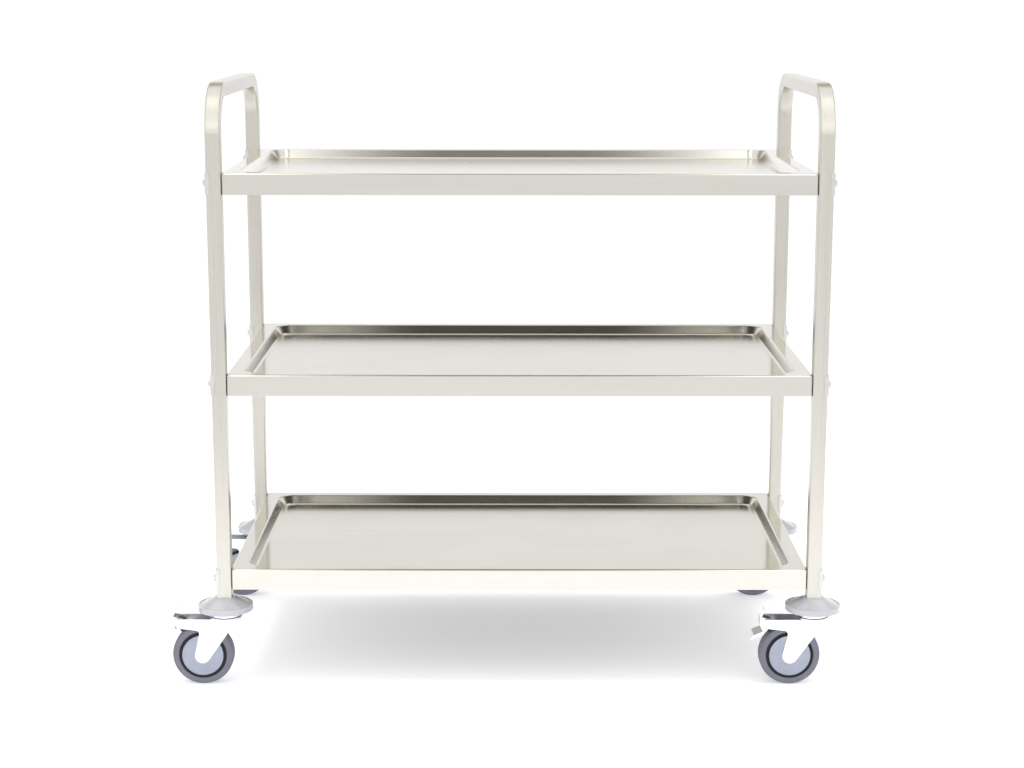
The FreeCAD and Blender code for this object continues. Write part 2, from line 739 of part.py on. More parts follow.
# ---------------------------------------------------------------- one caster and its bumper
def bumper_disc(label, place):
    """Moulded disc clamped between the upright and the caster."""
    body = new_body(label, place)
    rim = s.disc_dia / 2
    foot = head_top
    shoulder = foot + s.disc_wall
    top = foot + s.disc_height
    bore = s.stem_dia / 2 + s.disc_bore_clearance
    inner_lip = rim - s.disc_lip
    seat = s.tube_side / math.sqrt(2)
    profile = sketch_on(body, "profile", "XZ_Plane")
    outline(profile, [
        (bore, foot),
        (s.disc_hub / 2, foot),
        (s.disc_hub / 2, top - s.disc_shell * 1.5),
        (rim - s.disc_shell, shoulder - s.disc_lip_height - s.disc_shell),
        (rim - s.disc_shell, foot),
        (rim, foot, s.edge_break),
        (rim, shoulder, s.disc_shoulder),
        (inner_lip, shoulder, s.edge_break),
        (inner_lip - s.disc_lip_height, shoulder - s.disc_lip_height),
        (seat, top, s.disc_shell * 2),
        (bore, top),
    ])
    revolve(body, "moulding", profile, "V_Axis")


def caster_stem(label, place):
    """Head, threaded stem and kingpin, turned from one piece, with the upper ball track."""
    body = new_body(label, place)
    pin = s.stem_dia / 2
    core = s.head_core / 2
    cover = s.head_dia / 2
    kingpin_end = kingpin_nut_foot - s.kingpin_tail
    ceiling = head_top - s.head_cover
    profile = sketch_on(body, "profile", "XZ_Plane")
    outline(profile, [
        (0, kingpin_end),
        (pin, kingpin_end, s.edge_break),
        (pin, head_under),
        (core, head_under, s.edge_break),
        (core, ceiling),
        (cover - s.head_cover, ceiling, s.cover_bend),
        (cover - s.head_cover, crown_top + s.cover_gap),
        (cover, crown_top + s.cover_gap),
        (cover, head_top, s.head_round),
        (pin, head_top),
        (pin, stem_end, s.stem_round),
        (0, stem_end),
    ])
    revolve(body, "turned", profile, "V_Axis")
    track = sketch_on(body, "track", "XZ_Plane")
    circle(track, s.ball_circle / 2, crown_top + s.race_gap / 2, s.ball_dia + s.ball_clearance * 2)
    groove(body, "upper_track", track, "V_Axis")


def swivel_balls(label, place):
    """The ring of balls between head and crown."""
    body = new_body(label, place)
    ball = body.newObject("PartDesign::AdditiveSphere", "ball")
    ball.AttachmentSupport = (origin_feature(body, "XY_Plane"), [""])
    ball.MapMode = "FlatFace"
    bind(ball, "Radius", s.ball_dia / 2)
    bind(ball, ".AttachmentOffset.Base.x", s.ball_circle / 2)
    bind(ball, ".AttachmentOffset.Base.z", crown_top + s.race_gap / 2)
    doc.recompute()
    ring = body.newObject("PartDesign::PolarPattern", "ring")
    ring.Originals = [ball]
    ring.Axis = (origin_feature(body, "Z_Axis"), [""])
    ring.Angle = 360
    ring.Occurrences = SWIVEL_BALLS
    body.Tip = ring
    doc.recompute()


def fork(label, place):
    """Pressed fork: two cheeks with a long nose, joined by the round crown."""
    body = new_body(label, place)
    axle = -s.trail
    cheek = sketch_on(body, "cheek", "XZ_Plane")
    outline(cheek, [
        (axle - s.nose_reach, crown_under, s.nose_round),
        (axle - s.nose_heel, crown_under - s.nose_depth, s.nose_heel_round),
        (axle - s.crotch_back, crown_under - s.crotch_drop, s.crotch_round),
        Around(axle, axle_height, s.leg_round),
        (s.knee_reach, crown_under - s.knee_drop, s.leg_round),
        (s.heel_reach, crown_under - s.heel_drop, s.crotch_round),
        (s.shoulder_reach, crown_under),
    ])
    pad(body, "cheeks", cheek, fork_width, both_ways=True)

    gap = sketch_on(body, "gap", "XZ_Plane")
    outline(gap, [
        (axle - s.nose_reach * PAST, 0),
        (s.shoulder_reach * PAST, 0),
        (s.shoulder_reach * PAST, crown_under),
        (axle - s.nose_reach * PAST, crown_under),
    ])
    pocket(body, "wheel_space", gap, s.fork_gap, both_ways=True)

    disc = sketch_on(body, "crown_disc", "XY_Plane", (0, 0, crown_under))
    circle(disc, 0, 0, s.crown_dia)
    circle(disc, 0, 0, s.stem_dia + s.run_clearance * 2)
    pad(body, "crown", disc, s.crown_plate)

    track = sketch_on(body, "track", "XZ_Plane")
    circle(track, s.ball_circle / 2, crown_top + s.race_gap / 2, s.ball_dia + s.ball_clearance * 2)
    groove(body, "lower_track", track, "V_Axis")

    holes = sketch_on(body, "holes", "XZ_Plane")
    circle(holes, axle, axle_height, s.axle_dia)
    circle(holes, axle - s.pin_back, crown_under - s.pin_drop, s.pin_dia)
    pocket(body, "drilling", holes, both_ways=True)


def wheel_axle(label, place):
    """Axle bolt with its hexagon head in front and its nut behind."""
    bolt = new_body(f"{label}_bolt", place, keep=False)
    half = fork_width / 2
    section = sketch_on(bolt, "section", "XZ_Plane", (0, 0, half))
    outline(section, hexagon(s.axle_flats))
    pad(bolt, "head", section, s.axle_head)
    profile = sketch_on(bolt, "profile", "YZ_Plane")
    outline(profile, [
        (-half - s.axle_head / 2, 0),
        (half + s.axle_nut + s.axle_tail, 0),
        (half + s.axle_nut + s.axle_tail, s.axle_dia / 2, s.edge_break),
        (-half - s.axle_head / 2, s.axle_dia / 2),
    ])
    revolve(bolt, "shank", profile, "H_Axis")

    nut = new_body(f"{label}_nut", place, keep=False)
    section = sketch_on(nut, "section", "XZ_Plane", (0, 0, -half - s.axle_nut))
    outline(section, hexagon(s.axle_flats))
    circle(section, 0, 0, s.axle_dia)
    pad(nut, "nut", section, s.axle_nut)

    axle = doc.addObject("Part::Compound", label)
    axle.Label = label
    axle.Links = [bolt, nut]
    nodes.append(axle)


def thread_guards(label, place):
    """Dished discs held against the cheeks by the axle, one on each side of the wheel."""
    body = new_body(label, place)
    face = s.fork_gap / 2
    edge = s.guard_dia / 2
    boss_face = s.hub_width / 2 + s.guard_gap
    inside = face - s.guard_sheet
    profile = sketch_on(body, "profile", "YZ_Plane")
    outline(profile, [
        (face, s.axle_dia / 2),
        (face, edge, s.guard_bevel),
        (face - s.guard_depth, edge),
        (face - s.guard_depth, edge - s.guard_sheet),
        (inside, edge - s.guard_sheet, s.edge_break),
        (inside, s.guard_boss / 2),
        (boss_face, s.guard_boss / 2),
        (boss_face, s.axle_dia / 2),
    ])
    guard = revolve(body, "guard", profile, "H_Axis")
    repeat(body, [guard], [mirrored(body, "front_to_back", "XZ_Plane")])


def wheel_core(label, place):
    """Moulded centre of the wheel: hub, web and rim."""
    body = new_body(label, place)
    hub = s.hub_width / 2
    web = s.core_web / 2
    rim = s.rim_width / 2
    tread_seat = s.wheel_dia / 2 - s.tyre_depth
    profile = sketch_on(body, "profile", "YZ_Plane")
    outline(profile, [
        (-hub, s.bearing_dia / 2),
        (hub, s.bearing_dia / 2),
        (hub, s.hub_dia / 2),
        (web, s.hub_dia / 2, s.core_round),
        (web, tread_seat - s.rim_depth, s.core_round),
        (rim, tread_seat - s.rim_depth),
        (rim, tread_seat),
        (-rim, tread_seat),
        (-rim, tread_seat - s.rim_depth),
        (-web, tread_seat - s.rim_depth, s.core_round),
        (-web, s.hub_dia / 2, s.core_round),
        (-hub, s.hub_dia / 2),
    ])
    revolve(body, "moulding", profile, "H_Axis")


def tyre(label, place):
    """Grey rubber tyre with rounded shoulders."""
    body = new_body(label, place)
    half = s.tyre_width / 2
    seat = s.wheel_dia / 2 - s.tyre_depth
    profile = sketch_on(body, "profile", "YZ_Plane")
    outline(profile, [
        (-half, seat, s.tyre_foot),
        (half, seat, s.tyre_foot),
        (half, s.wheel_dia / 2, s.tyre_shoulder),
        (-half, s.wheel_dia / 2, s.tyre_shoulder),
    ])
    revolve(body, "moulding", profile, "H_Axis")


def wheel_bearings(label, place):
    """Two bearing rings pressed into the hub, running on the axle."""
    body = new_body(label, place)
    hub = s.hub_width / 2
    bore = s.axle_dia / 2 + s.run_clearance
    profile = sketch_on(body, "profile", "YZ_Plane")
    outline(profile, [
        (hub - s.bearing_width, bore),
        (hub, bore),
        (hub, s.bearing_dia / 2),
        (hub - s.bearing_width, s.bearing_dia / 2),
    ])
    ring = revolve(body, "ring", profile, "H_Axis")
    repeat(body, [ring], [mirrored(body, "front_to_back", "XZ_Plane")])


def brake_pedal(label, place):
    """Bent rocker pedal: a sloping foot pad with sides and an end lip, a web between two ears on
    the pin, and a release ear above."""
    body = new_body(label, place)
    plate = s.pedal_sheet
    web = -s.web_back
    root = (-s.pad_root_back, -s.pad_root_drop)
    tip = down_slope(root, s.pad_tilt, s.pad_length, 0)

    side = sketch_on(body, "side", "XZ_Plane")
    outline(side, [
        tip,
        root,
        down_slope(root, s.pad_tilt, 0, s.pad_side),
        down_slope(root, s.pad_tilt, s.pad_length, s.pad_side),
        down_slope(tip, s.lip_tilt, s.lip_length, plate),
        down_slope(tip, s.lip_tilt, s.lip_length, 0),
    ])
    pad(body, "foot_pad", side, fork_width, both_ways=True)
    under = sketch_on(body, "under", "XZ_Plane")
    fold = down_slope(root, s.pad_tilt, s.pad_length - plate / 2, plate)
    outline(under, [
        fold,
        down_slope(root, s.pad_tilt, -plate * 2, plate),
        down_slope(root, s.pad_tilt, -plate * 2, s.pad_side * PAST * 2),
        down_slope(fold, s.lip_tilt, s.lip_length * PAST, 0),
    ])
    pocket(body, "under_pad", under, fork_width - plate * 2, both_ways=True)

    ears = sketch_on(body, "ears", "XZ_Plane")
    outline(ears, [(web, -s.web_foot), Around(0, 0, s.pedal_ear), (web, s.web_rise)])
    pad(body, "ears_and_web", ears, pedal_width, both_ways=True)
    inside = sketch_on(body, "inside", "XZ_Plane")
    outline(inside, [
        (web + plate, -s.pedal_ear * PAST),
        (s.pedal_ear * PAST, -s.pedal_ear * PAST),
        (s.pedal_ear * PAST, s.web_rise * PAST),
        (web + plate, s.web_rise * PAST),
    ])
    pocket(body, "between_ears", inside, pedal_inside, both_ways=True)

    knee = sketch_on(body, "knee", "XZ_Plane")
    outline(knee, [
        (web, -s.web_foot),
        (web + plate, plate - s.web_foot),
        (root[0] + plate, root[1] + plate / 2),
        down_slope(root, s.pad_tilt, 0, plate),
        root,
    ])
    pad(body, "web_to_pad", knee, pedal_width, both_ways=True)

    release = sketch_on(body, "release", "XZ_Plane")
    outline(release, [
        (web, s.web_rise - plate),
        (web + plate, s.web_rise - plate),
        (web + plate, s.web_rise - plate / 4, s.ear_bend),
        (-s.ear_back + plate, s.ear_rise - plate / 2),
        (-s.ear_back, s.ear_rise),
        (web, s.web_rise, s.ear_bend),
    ])
    pad(body, "release_ear", release, pedal_width, both_ways=True)

    hole = sketch_on(body, "pin_hole", "XZ_Plane")
    circle(hole, 0, 0, s.pin_dia + s.run_clearance * 2)
    pocket(body, "drilling", hole, both_ways=True)


def brake_shoe(label, place):
    """Cam between the pedal's ears; its tip swings down onto the tyre."""
    body = new_body(label, place)
    reach = hypotenuse(s.pin_back, pin_rise)
    tip = reach - s.wheel_dia / 2 - s.brake_gap
    profile = sketch_on(body, "profile", "XZ_Plane")
    outline(profile, [
        (tip, -s.shoe_tip / 2, s.edge_break),
        (tip, s.shoe_tip / 2, s.edge_break),
        Around(0, 0, s.shoe_hub),
    ])
    pad(body, "cam", profile, pedal_inside, both_ways=True)
    hole = sketch_on(body, "pin_hole", "XZ_Plane")
    circle(hole, 0, 0, s.pin_dia + s.run_clearance * 2)
    pocket(body, "drilling", hole, both_ways=True)
    body.Placement.Rotation = FreeCAD.Rotation(Vector(0, 1, 0), 1)
    towards_axle = f"atan({pin_rise.text} / {s.pin_back.text})"
    body.setExpression("Placement.Rotation.Angle", f"{towards_axle} + {s.brake_throw.text} * 1 deg")


def pedal_pin(label, place):
    """Rivet through both cheeks that the pedal rocks on."""
    body = new_body(label, place)
    half = fork_width / 2
    head = s.pin_head / 2
    profile = sketch_on(body, "profile", "YZ_Plane")
    outline(profile, [
        (-half - s.pin_head_height, 0),
        (half + s.pin_head_height, 0),
        (half + s.pin_head_height, head, s.pin_head_round),
        (half, head),
        (half, s.pin_dia / 2),
        (-half, s.pin_dia / 2),
        (-half, head),
        (-half - s.pin_head_height, head, s.pin_head_round),
    ])
    revolve(body, "rivet", profile, "H_Axis")


def caster(prefix, end, row):
    """Everything under one upright."""
    x = corner_x * end
    y = corner_y * row
    under_upright = (x, y, 0)
    at_axle = (x - s.trail, y, axle_height)
    at_pin = (x - s.trail - s.pin_back, y, crown_under - s.pin_drop)
    bumper_disc(f"{prefix}_bumper_disc", under_upright)
    caster_stem(f"{prefix}_caster_stem", under_upright)
    swivel_balls(f"{prefix}_swivel_balls", under_upright)
    fork(f"{prefix}_fork", under_upright)
    wheel_axle(f"{prefix}_wheel_axle", at_axle)
    thread_guards(f"{prefix}_thread_guards", at_axle)
    wheel_core(f"{prefix}_wheel_core", at_axle)
    tyre(f"{prefix}_tyre", at_axle)
    wheel_bearings(f"{prefix}_wheel_bearings", at_axle)
    brake_pedal(f"{prefix}_brake_pedal", at_pin)
    brake_shoe(f"{prefix}_brake_shoe", at_pin)
    pedal_pin(f"{prefix}_pedal_pin", at_pin)


for prefix, end, row in (
    ("front_left", -1, -1),
    ("front_right", 1, -1),
    ("rear_left", -1, 1),
    ("rear_right", 1, 1),
):
    caster(prefix, end, row)


# ---------------------------------------------------------------- checks and files
doc.recompute()
for thing in doc.Objects:
    if "Invalid" in thing.State or "Error" in thing.State:
        raise RuntimeError(f"{thing.Label} ({thing.Name}) failed: {thing.State}")
for feature, before in cuts:
    if not feature.Shape.Volume < before - 0.01:
        raise RuntimeError(f"{feature.Label} in {feature.getParentGeoFeatureGroup().Label} cuts nothing")
for node in nodes:
    if node.Shape.isNull() or not node.Shape.isValid():
        raise RuntimeError(f"{node.Label} has no sound shape")

os.makedirs("parts", exist_ok=True)
for node in nodes:
    node.Shape.exportStep(f"parts/{node.Label}.step")
    box = node.Shape.optimalBoundingBox(False)
    print(
        f"{node.Label:28s} {len(node.Shape.Solids):2d} solids {node.Shape.Volume / 1000:8.2f} cm3"
        f"  x {box.XMin:7.1f} {box.XMax:7.1f}  y {box.YMin:7.1f} {box.YMax:7.1f}"
        f"  z {box.ZMin:6.1f} {box.ZMax:6.1f}"
    )
print(len(nodes), "nodes")
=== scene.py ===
# %% [markdown]
# # A three-tier service trolley
# The object is a stainless steel clearing trolley: two bent square-tube end frames, three pressed
# trays, and four braked swivel casters under round bumper discs. Its shapes come from the packed
# CAD frame and stay as they are. What this lesson adds is how each surface looks: the way the
# sheet and the tube were ground, the zinc on the casters, the moulded plastic and the rubber.

# %% Load the frame
import bpy
import math
from mathutils import Matrix, Vector


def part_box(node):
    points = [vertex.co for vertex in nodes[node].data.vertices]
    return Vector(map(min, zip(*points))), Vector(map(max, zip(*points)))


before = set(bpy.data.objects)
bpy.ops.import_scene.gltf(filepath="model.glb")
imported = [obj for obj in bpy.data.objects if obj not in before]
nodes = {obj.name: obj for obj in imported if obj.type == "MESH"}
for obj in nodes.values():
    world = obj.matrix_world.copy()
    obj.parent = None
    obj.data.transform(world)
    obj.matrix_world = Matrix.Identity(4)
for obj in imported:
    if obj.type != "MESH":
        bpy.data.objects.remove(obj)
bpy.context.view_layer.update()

# %% [markdown]
# ## The camera
# A trolley is seen from a standing person's height, square to its long side and a little to the
# left of its middle. A wide lens from close by would splay the uprights, so a long lens is used
# from a few metres away, and it keeps them almost parallel. The camera is made first, so that
# every later choice can be looked at through it.

# %% Camera
CAMERA_PLACE = Vector((-0.0183, -3.2809, 1.0700))
CAMERA_PITCH = math.radians(10.936)
CAMERA_YAW = math.radians(0.122)
CAMERA_ROLL = math.radians(0.067)
CAMERA_LENS = 70.48
CAMERA_SENSOR = 36.0
LEVEL = math.radians(90)

camera_data = bpy.data.cameras.new("camera")
camera_data.lens = CAMERA_LENS
camera_data.sensor_width = CAMERA_SENSOR
camera = bpy.data.objects.new("camera", camera_data)
bpy.context.scene.collection.objects.link(camera)
turn = Matrix.Rotation(-CAMERA_YAW, 4, "Z")
tilt = Matrix.Rotation(LEVEL - CAMERA_PITCH, 4, "X")
roll = Matrix.Rotation(CAMERA_ROLL, 4, "Z")
camera.matrix_world = Matrix.Translation(CAMERA_PLACE) @ turn @ tilt @ roll
bpy.context.scene.camera = camera
print("camera", [round(v, 3) for v in CAMERA_PLACE], "lens", CAMERA_LENS, "mm")

# %% [markdown]
# ## A small kit for shader nodes
# Every finish below is a tree of shader nodes. Adding a node, setting it and linking it takes
# four or five lines each time. A short class does that in one call, so that a finish reads as
# what it is made of. Its `span` carries one range of a value over to another, and does most of
# the work of fading one thing into the next.

# %% Shader kit
class Shader:
    """Adds nodes to a tree and joins them in one call each."""

    def __init__(self, tree):
        self.tree = tree
        tree.nodes.clear()

    def node(self, kind, inputs=None, **settings):
        made = self.tree.nodes.new(kind)
        for name, value in settings.items():
            setattr(made, name, value)
        for key, value in (inputs or {}).items():
            self.put(made.inputs[key], value)
        return made

    def put(self, socket, value):
        if isinstance(value, bpy.types.NodeSocket):
            self.tree.links.new(value, socket)
        else:
            socket.default_value = value

    def math(self, operation, *values):
        made = self.node("ShaderNodeMath", operation=operation)
        for socket, value in zip(made.inputs, values):
            self.put(socket, value)
        return made.outputs[0]

    def product(self, first, *others):
        for other in others:
            first = self.math("MULTIPLY", first, other)
        return first

    def span(self, value, low, high, to_low=0.0, to_high=1.0, smooth=False):
        """Carry one range of a value over to another, held at both ends."""
        kind = "SMOOTHSTEP" if smooth else "LINEAR"
        made = self.node("ShaderNodeMapRange", {
            "Value": value, "From Min": low, "From Max": high, "To Min": to_low, "To Max": to_high,
        }, interpolation_type=kind)
        return made.outputs[0]

    def ramp(self, factor, stops):
        made = self.node("ShaderNodeValToRGB", {"Fac": factor})
        points = made.color_ramp.elements
        while len(points) < len(stops):
            points.new(0.5)
        for point, (place, color) in zip(points, stops):
            point.position = place
            point.color = (*color, 1.0)
        return made.outputs["Color"]

    def mix(self, factor, first, second):
        """Blend two colours. Inputs 0, 6 and 7 are the factor and the two colours."""
        made = self.node("ShaderNodeMix", data_type="RGBA", blend_type="MIX")
        for index, value in ((0, factor), (6, first), (7, second)):
            if isinstance(value, tuple):
                value = (*value, 1.0)
            self.put(made.inputs[index], value)
        return made.outputs[2]

    def stretch(self, place, amounts):
        made = self.node("ShaderNodeVectorMath", {0: place, 1: amounts}, operation="MULTIPLY")
        return made.outputs[0]

    def noise(self, place, scale, detail, **more):
        made = self.node("ShaderNodeTexNoise", {"Vector": place, "Scale": scale, "Detail": detail, **more})
        return made.outputs["Fac"]

    def bump(self, height, strength, distance):
        made = self.node("ShaderNodeBump", {"Height": height, "Strength": strength, "Distance": distance})
        return made.outputs[0]

    def own_place(self):
        """The shaded spot in the piece's own metres."""
        return self.node("ShaderNodeTexCoord").outputs["Object"]

    def apart(self, vector):
        """X, Y and Z of a vector."""
        made = self.node("ShaderNodeSeparateXYZ", {0: vector})
        return made.outputs["X"], made.outputs["Y"], made.outputs["Z"]


print("shader kit:", ", ".join(name for name in vars(Shader) if not name.startswith("_")))

# %% [markdown]
# ## The room
# Bare metal has hardly any colour of its own: it shows the room. A real room could be built
# around the trolley, but then every change to a reflection means moving walls. Here the world
# itself is painted by direction instead, like a product studio. It is white nearly all round,
# with a few things for the steel to show. A dim warm patch of ceiling hangs above the camera,
# narrow enough that only surfaces near the middle of the trolley mirror it, and it draws the dark
# line along the back wall of each dish. A bright strip on each side of that patch lights up the
# handle bends, and a brown band high on the far side darkens their very top.

# %% World
# Each stop is a height, from 0 straight down over 0.5 level to 1 straight up, and a colour.
FRONT_SKY = (
    (0.00, (0.95, 0.93, 0.88)),
    (0.50, (1.05, 1.03, 0.98)),
    (0.58, (1.16, 1.15, 1.13)),
    (1.00, (1.20, 1.20, 1.20)),
)
BACK_SKY = (
    (0.500, (1.30, 1.30, 1.32)),
    (0.545, (1.34, 1.34, 1.36)),
    (0.585, (1.03, 1.03, 1.03)),
    (0.630, (1.12, 1.12, 1.12)),
    (0.690, (1.20, 1.20, 1.20)),
    (0.76, (0.52, 0.46, 0.38)),
    (0.84, (0.52, 0.46, 0.38)),
    (0.90, (1.35, 1.35, 1.35)),
)
SEAM = 0.10
STRIP_COLOR = (2.30, 2.29, 2.26)
STRIP_INNER_EDGE = (0.09, 0.13)
STRIP_OUTER_EDGE = (0.34, 0.24)
STRIP_FOOT = (0.04, 0.12)
PATCH_COLOR = (0.16, 0.135, 0.10)
PATCH_FOOT = (0.34, 0.52)
PATCH_TOP = (0.93, 0.78)
PATCH_SIDE = (0.115, 0.035)


def studio_world():
    """Paint the world by direction: sky in front and behind, two strips, and the patch."""
    world = bpy.data.worlds.new("studio")
    bpy.context.scene.world = world
    world.use_nodes = True
    sh = Shader(world.node_tree)
    sideways, backward, up = sh.apart(sh.node("ShaderNodeTexCoord").outputs["Generated"])
    aside = sh.math("ABSOLUTE", sideways)
    height = sh.span(up, -1.0, 1.0)
    facing = sh.span(backward, SEAM, -SEAM, smooth=True)
    color = sh.mix(facing, sh.ramp(height, BACK_SKY), sh.ramp(height, FRONT_SKY))
    strip = sh.product(sh.span(aside, *STRIP_INNER_EDGE), sh.span(aside, *STRIP_OUTER_EDGE),
                       sh.span(up, *STRIP_FOOT), facing)
    color = sh.mix(strip, color, STRIP_COLOR)
    patch = sh.product(sh.span(up, *PATCH_FOOT, smooth=True), sh.span(up, *PATCH_TOP, smooth=True),
                       sh.span(aside, *PATCH_SIDE, smooth=True), facing)
    color = sh.mix(patch, color, PATCH_COLOR)
    light = sh.node("ShaderNodeBackground", {"Color": color, "Strength": 1.0})
    sh.node("ShaderNodeOutputWorld", {"Surface": light.outputs[0]})
    return world


world = studio_world()
print("world", world.name, "with", len(world.node_tree.nodes), "nodes")

# %% [markdown]
# ## The lamp
# The world alone would light the plastics evenly and leave the trolley floating. Several small
# lamps would give several shadows. One broad lamp overhead fills the plastics and lays a single
# soft shadow. The metal doesn't mirror it, as when a studio lamp is screened off from the
# polished surfaces.

# %% Lamp
LAMP_PLACE = Vector((0.0, 0.1, 3.3))
LAMP_TARGET = Vector((0.0, 0.0, 0.0))
LAMP_SIZE = (2.6, 1.8)
LAMP_POWER = 50.0

lamp_data = bpy.data.lights.new("overhead", "AREA")
lamp_data.shape = "RECTANGLE"
lamp_data.size, lamp_data.size_y = LAMP_SIZE
lamp_data.energy = LAMP_POWER
lamp = bpy.data.objects.new("overhead", lamp_data)
bpy.context.scene.collection.objects.link(lamp)
lamp.location = LAMP_PLACE
lamp.rotation_euler = (LAMP_TARGET - LAMP_PLACE).to_track_quat("-Z", "Y").to_euler()
lamp.visible_glossy = False
print("lamp", LAMP_SIZE, "m,", LAMP_POWER, "W, at", [round(v, 2) for v in LAMP_PLACE])

# %% [markdown]
# ## The floor
# The floor has to be pale and without an end. A plain white one mirrors as grey in the steel, and
# a glowing one swallows the shadow. So it glows a little everywhere and more in a pool around
# the trolley. An upright mirrors the floor, and the pool makes it lighter near its foot.

# %% Floor
FLOOR_HALF = 400.0
FLOOR_COLOR = (0.81, 0.82, 0.86, 1.0)
FLOOR_ROUGHNESS = 0.9
FLOOR_SHEEN = 0.1
POOL_INNER = 1.2
POOL_EDGE = 2.2
POOL_GLOW = 0.38
OUTER_GLOW = 0.06
WHITE = (1.0, 1.0, 1.0, 1.0)

floor_mesh = bpy.data.meshes.new("floor")
corners = [(i * FLOOR_HALF, j * FLOOR_HALF, 0.0) for i, j in ((-1, -1), (1, -1), (1, 1), (-1, 1))]
floor_mesh.from_pydata(corners, [], [(0, 1, 2, 3)])
floor = bpy.data.objects.new("floor", floor_mesh)
bpy.context.scene.collection.objects.link(floor)
floor_paint = bpy.data.materials.new("pale_floor")
floor_paint.use_nodes = True
sh = Shader(floor_paint.node_tree)
away = sh.node("ShaderNodeVectorMath", {0: sh.own_place()}, operation="LENGTH").outputs["Value"]
surface = sh.node("ShaderNodeBsdfPrincipled", {
    "Base Color": FLOOR_COLOR,
    "Roughness": FLOOR_ROUGHNESS,
    "Specular IOR Level": FLOOR_SHEEN,
    "Emission Color": WHITE,
    "Emission Strength": sh.span(away, POOL_EDGE, POOL_INNER, OUTER_GLOW, POOL_GLOW, smooth=True),
})
sh.node("ShaderNodeOutputMaterial", {"Surface": surface.outputs[0]})
floor_mesh.materials.append(floor_paint)
bpy.context.scene.view_settings.view_transform = "Standard"
bpy.context.scene.view_settings.look = "None"
print("floor", FLOOR_HALF * 2, "m square, lit pool", POOL_INNER, "to", POOL_EDGE, "m out")

# %% [markdown]
# ## Ground stainless steel
# Sheet and tube are ground with an abrasive belt, which leaves fine parallel scratches. Along the
# scratches the surface is almost a mirror; across them it scatters. That is what makes an upright
# reflect in a tray as a sharp-edged but endlessly long stripe. It can be made with a scratch
# texture alone, but at this size single scratches are too fine to see, so the shader's anisotropy
# carries the stretch and a thin noise, drawn out along the grain, adds the visible streaks.

# %% Ground steel
STEEL = (0.628, 0.614, 0.556)
# Painted shade: the dark colour given to the underside of each tray.
UNDERSIDE_PAINTED_SHADE = (0.100, 0.092, 0.080)
MILL_ROUGHER = 0.25
FINE_DETAIL, FINE_ROUGHNESS, FINE_SHARE = 4.0, 0.62, 0.6
COARSE_STRETCH, COARSE_DETAIL, COARSE_SHARE = (0.9, 0.07, 0.07), 2.0, 0.4
STREAK_RANGE = (0.36, 0.64)
MIDDLE_RANGE = (0.3, 0.7)
ROUGHNESS_SWING = 0.15
WEAR_SCALE, WEAR_DETAIL, WEAR_TWIST = 7.0, 3.0, 0.6
WEAR_RANGE = (0.35, 0.75)
WEAR_LEAST, WEAR_MOST = -0.008, 0.015
SCRATCH_DEPTH = 0.0004


def new_material(name):
    made = bpy.data.materials.new(name)
    made.use_nodes = True
    return made, Shader(made.node_tree)


def close_material(sh, color, roughness, normal, more):
    """End a material with a Principled shader and its output."""
    shader = sh.node("ShaderNodeBsdfPrincipled",
                     {"Base Color": color, "Roughness": roughness, "Normal": normal, **more})
    sh.node("ShaderNodeOutputMaterial", {"Surface": shader.outputs[0]})


def two_tones(color, spread):
    """A darker and a lighter version of one colour."""
    dark = tuple(c * (1 - spread) for c in color)
    light = tuple(min(1.0, c * (1 + spread)) for c in color)
    return dark, light


def ground_steel(name, grain_of, across, roughness, anisotropy, streak, scratch, tone, painted_shade_and_dull=None):
    """Ground stainless: grain_of(sh) gives a vector whose X runs along the grain, drawn out, and
    across is the direction in which the scratches scatter. painted_shade_and_dull(sh), where
    given, says how much of the surface gets a painted dark shade and a rougher finish."""
    material, sh = new_material(name)
    grain = grain_of(sh)
    fine = sh.noise(grain, 1.0, FINE_DETAIL, Roughness=FINE_ROUGHNESS)
    coarse = sh.noise(sh.stretch(grain, COARSE_STRETCH), 1.0, COARSE_DETAIL)
    wear = sh.noise(sh.own_place(), WEAR_SCALE, WEAR_DETAIL, Distortion=WEAR_TWIST)
    shade = sh.math("ADD", sh.product(fine, FINE_SHARE), sh.product(coarse, COARSE_SHARE))
    dark, light = two_tones(tone, streak)
    color = sh.ramp(shade, ((STREAK_RANGE[0], dark), (STREAK_RANGE[1], light)))
    swing = sh.span(fine, *MIDDLE_RANGE, roughness * (1 - ROUGHNESS_SWING),
                    roughness * (1 + ROUGHNESS_SWING))
    rough = sh.math("ADD", swing, sh.span(wear, *WEAR_RANGE, WEAR_LEAST, WEAR_MOST))
    # Painted shade: where given, the colour is blended towards the dark underside tone, and the roughness
    # is raised.
    if painted_shade_and_dull is not None:
        shade_and_dull_share = painted_shade_and_dull(sh)
        color = sh.mix(shade_and_dull_share, color, UNDERSIDE_PAINTED_SHADE)
        rough = sh.math("ADD", rough, sh.product(shade_and_dull_share, MILL_ROUGHER))
    tangent = sh.node("ShaderNodeCombineXYZ", dict(enumerate(across))).outputs[0]
    close_material(sh, color, rough, sh.bump(fine, scratch, SCRATCH_DEPTH),
                   {"Metallic": 1.0, "Anisotropic": anisotropy, "Tangent": tangent})
    return material


# The second colour printed is the painted shade for the tray undersides.
print("ground steel", STEEL, "and mill finish", UNDERSIDE_PAINTED_SHADE)

# %% [markdown]
# ## Tray sheet
# The blank is ground along the trolley before it is pressed and folded, so one straight grain
# serves floor, walls, rim and skirt. Only the side that shows is ground. Under each tray the
# sheet is rougher and painted dark as shade, lighter towards the ends, and the dish wall of the
# tray below mirrors that painted shade. A second material on the underside faces would do this
# too, with a hard edge at the bend. A blend by the way a spot faces needs no edge.

# %% Tray steel
SHEET_GRAIN = (3.0, 1600.0, 1600.0)
SHEET_SCATTERS = (0.0, 1.0, 0.0)
FACES_DOWN = (-0.35, -0.75)
SHADE_AND_DULL_FADE = (0.40, 0.18)
SHADE_AND_DULL_LEAST = 0.35


def sheet_grain(sh):
    return sh.stretch(sh.own_place(), SHEET_GRAIN)


